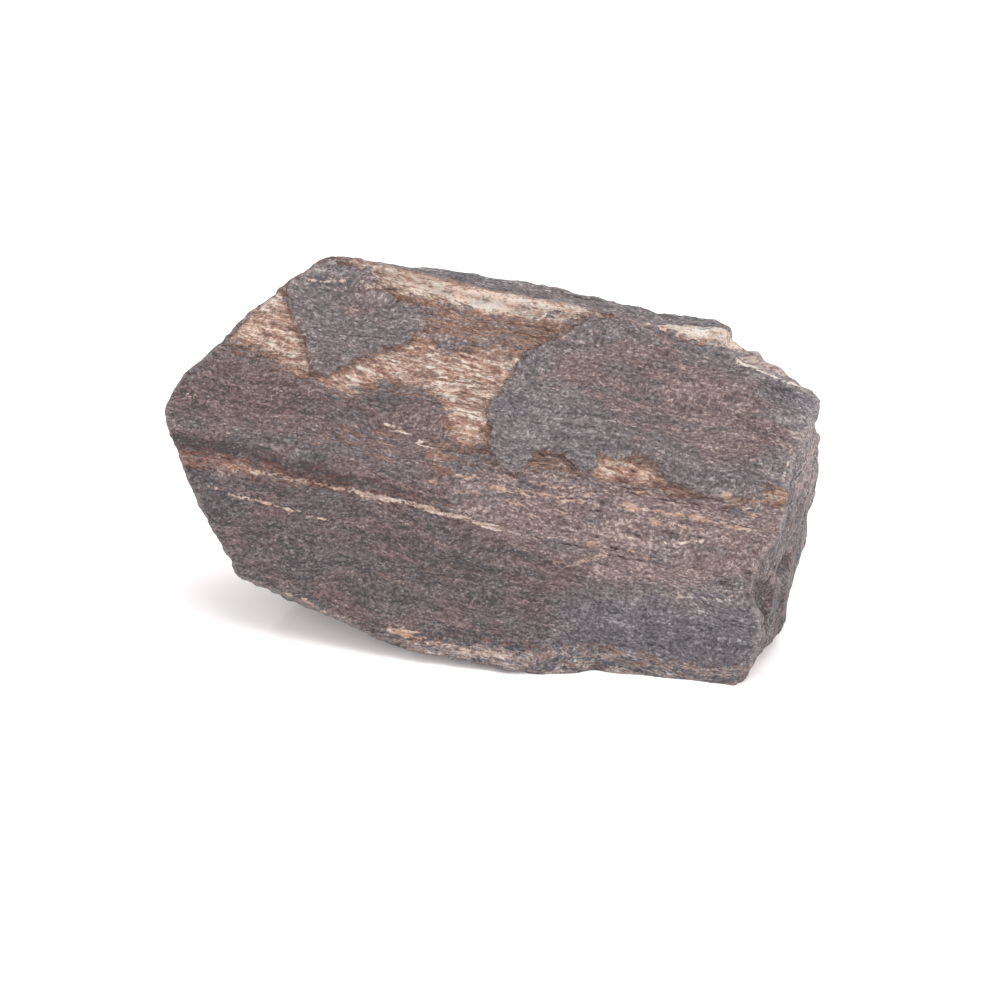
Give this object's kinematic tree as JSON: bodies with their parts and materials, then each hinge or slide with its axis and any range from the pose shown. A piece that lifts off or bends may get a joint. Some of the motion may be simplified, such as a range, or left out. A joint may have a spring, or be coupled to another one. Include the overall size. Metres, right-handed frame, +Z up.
{
  "type": "martite rock specimen",
  "caption": "Broken slab of banded martite ore that rests on its foot and leans back, with thin dark sheets, a top ledge and layered sides.",
  "frame": {"origin": "middle of the bounding box at the height of the surface that the stone rests on", "axes": "+X along the stone's length towards the end with the fresh break, +Y from the wide banded face to the back, +Z up"},
  "size_m": [0.0726, 0.0316, 0.0369],
  "materials": {
    "martite_rock": "rough grainy ore, steel grey and maroon with tan and rust bands"
  },
  "bodies": {
    "root": {"martite": "martite_rock"}
  },
  "joints": []
}
